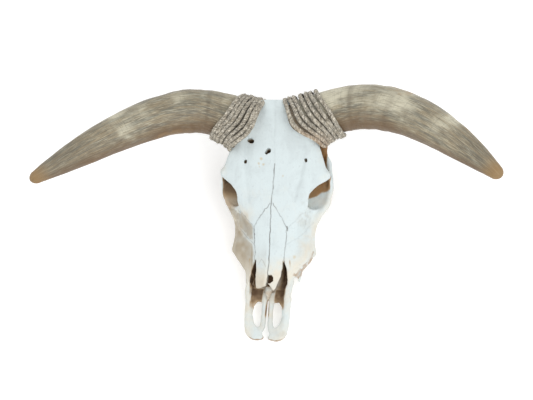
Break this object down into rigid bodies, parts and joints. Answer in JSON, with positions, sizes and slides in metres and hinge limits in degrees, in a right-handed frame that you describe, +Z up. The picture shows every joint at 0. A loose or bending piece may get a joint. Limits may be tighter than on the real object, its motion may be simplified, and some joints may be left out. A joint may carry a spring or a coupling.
{
  "type": "cow skull with horns",
  "caption": "Weathered cow skull without its lower jaw, with long curved horns and rope wound round the horn bases.",
  "frame": {"origin": "on the surface that the skull lies on, under the middle of its bounding box", "axes": "+Z up out of the forehead side, -Y towards the muzzle, +X towards the skull's own left horn"},
  "size_m": [0.9416, 0.513, 0.3037],
  "materials": {
    "bone": "matt, dry, bleached white bone, cream to tan at the edges and brown in the hollows",
    "horn": "satin, grey-olive and tan streaked horn with fine rings, amber tips and brown undersides",
    "rope": "matt, hairy grey-beige twisted jute"
  },
  "bodies": {
    "root": {"nasal_left": "bone", "nasal_right": "bone", "frontal": "bone", "lacrimal_left": "bone", "lacrimal_right": "bone", "zygomatic_left": "bone", "zygomatic_right": "bone", "maxilla_left": "bone", "maxilla_right": "bone", "temporal_left": "bone", "temporal_right": "bone", "premaxilla_left": "bone", "premaxilla_right": "bone", "vomer": "bone", "sphenoid": "bone", "occipital": "bone", "horn_left": "horn", "rope_left": "rope", "horn_right": "horn", "rope_right": "rope"}
  },
  "joints": []
}
